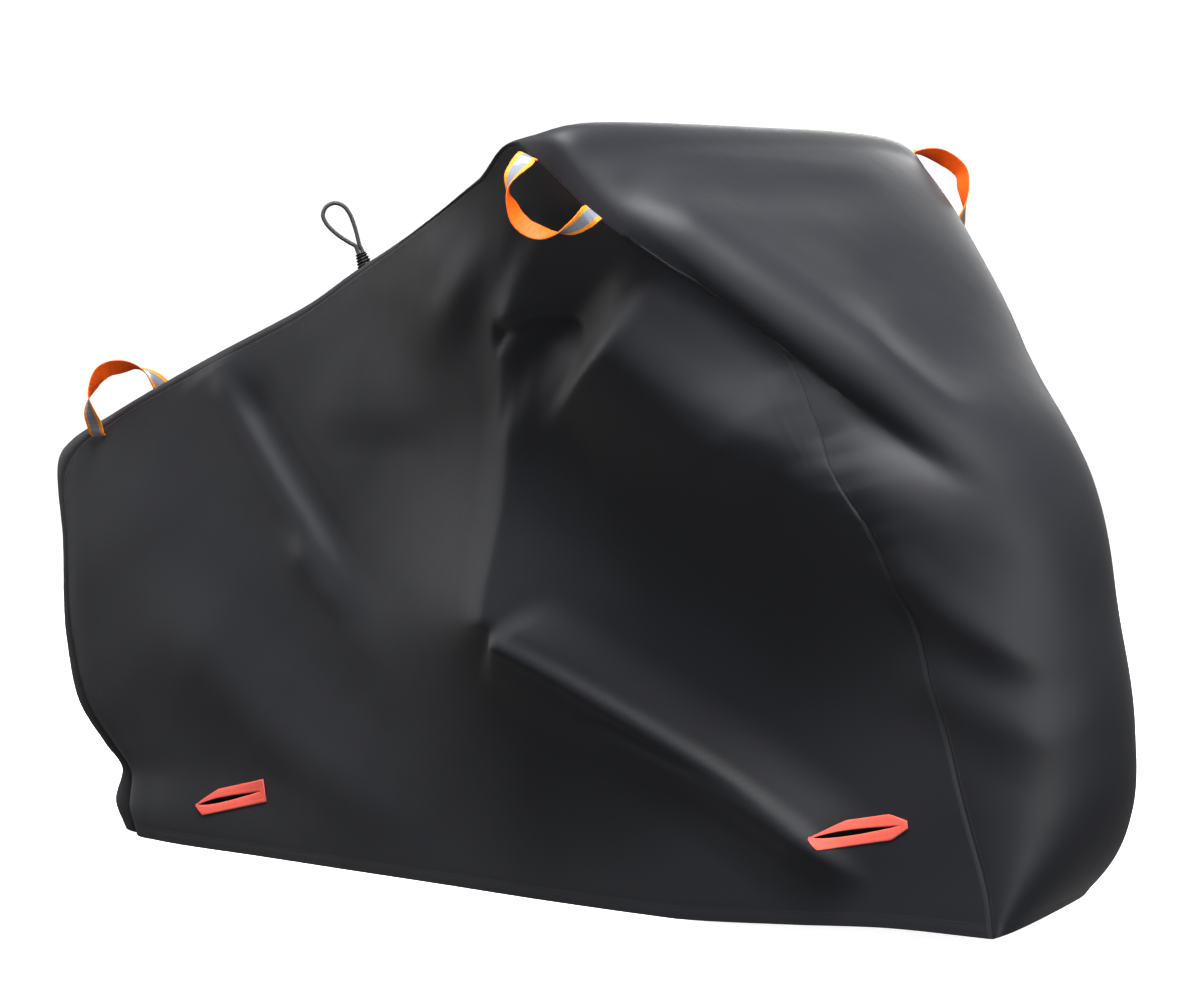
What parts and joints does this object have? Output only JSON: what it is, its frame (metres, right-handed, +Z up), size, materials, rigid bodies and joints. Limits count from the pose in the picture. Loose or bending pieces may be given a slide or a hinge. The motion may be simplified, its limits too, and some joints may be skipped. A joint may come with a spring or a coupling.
{
  "type": "fitted bicycle cover",
  "caption": "Draped waterproof cloth cover in the shape of a bicycle, hollow and open below, with webbing grab loops, bound lock slots and an elastic cord loop.",
  "frame": {"origin": "middle of the overall box without the cord, on the ground that the hem reaches", "axes": "+X towards the front wheel, +Y to the left-hand side, +Z up"},
  "size_m": [1.9916, 0.8792, 1.0745],
  "materials": {
    "cloth": "satin coated polyester",
    "webbing": "matte woven webbing with a reflective stripe",
    "binding": "matte woven tape",
    "wrapping": "matte wound thread",
    "cord": "matte braided elastic"
  },
  "bodies": {
    "root": {"right_panel": "cloth", "left_panel": "cloth", "centre_panel": "cloth", "right_loop": "webbing", "left_loop": "webbing", "tail_loop": "webbing", "rear_slot": "binding", "front_slot": "binding", "cord_knot": "wrapping", "elastic_cord": "cord"}
  },
  "joints": []
}
